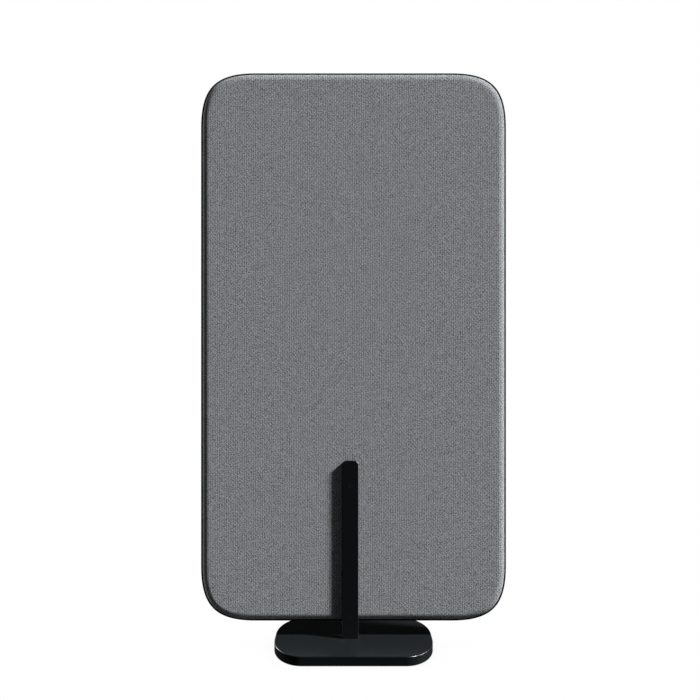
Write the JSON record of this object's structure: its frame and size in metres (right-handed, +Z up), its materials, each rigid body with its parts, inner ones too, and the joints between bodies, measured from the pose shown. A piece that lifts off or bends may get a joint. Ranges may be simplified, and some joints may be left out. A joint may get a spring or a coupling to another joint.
{
  "type": "office partition",
  "caption": "Free-standing office partition: an upholstered acoustic panel with soft corners, screwed to one flat post that stands in a low weighted base.",
  "frame": {"origin": "on the floor, under the middle of the base and of the panel", "axes": "+Z up; -Y towards the side that the post stands on, which is the front; +X to the right of someone who faces that side"},
  "size_m": [0.8, 0.35, 1.5],
  "materials": {
    "cover_cloth": "melange grey woven cloth",
    "felt": "needled felt",
    "core_board": "pressed fibre board",
    "trim_plastic": "black, satin",
    "frame_wood": "planed softwood",
    "dowel_wood": "beech",
    "insert_brass": "turned",
    "plated_steel": "zinc plated",
    "plain_steel": "rolled plate",
    "black_steel": "black powder coat, fine texture",
    "black_screws": "black oxide",
    "pad_rubber": "matt"
  },
  "bodies": {
    "root": {"front_cover": "cover_cloth", "rear_cover": "cover_cloth", "front_felt": "felt", "rear_felt": "felt", "edge_trim": "trim_plastic", "left_stile": "frame_wood", "right_stile": "frame_wood", "top_rail": "frame_wood", "bottom_rail": "frame_wood", "upper_left_corner_block": "frame_wood", "upper_right_corner_block": "frame_wood", "lower_left_corner_block": "frame_wood", "lower_right_corner_block": "frame_wood", "cross_rail": "frame_wood", "centre_stile": "frame_wood", "frame_dowels": "dowel_wood", "upper_core": "core_board", "lower_left_core": "core_board", "lower_right_core": "core_board", "threaded_inserts": "insert_brass", "spacer_sleeves": "plated_steel", "post": "black_steel", "post_screws": "black_screws", "foot_plate": "plain_steel", "foot_plate_screws": "plated_steel", "base_cover": "black_steel", "base_cover_screws": "plated_steel", "ballast_plate": "plain_steel", "floor_pads": "pad_rubber"}
  },
  "joints": []
}
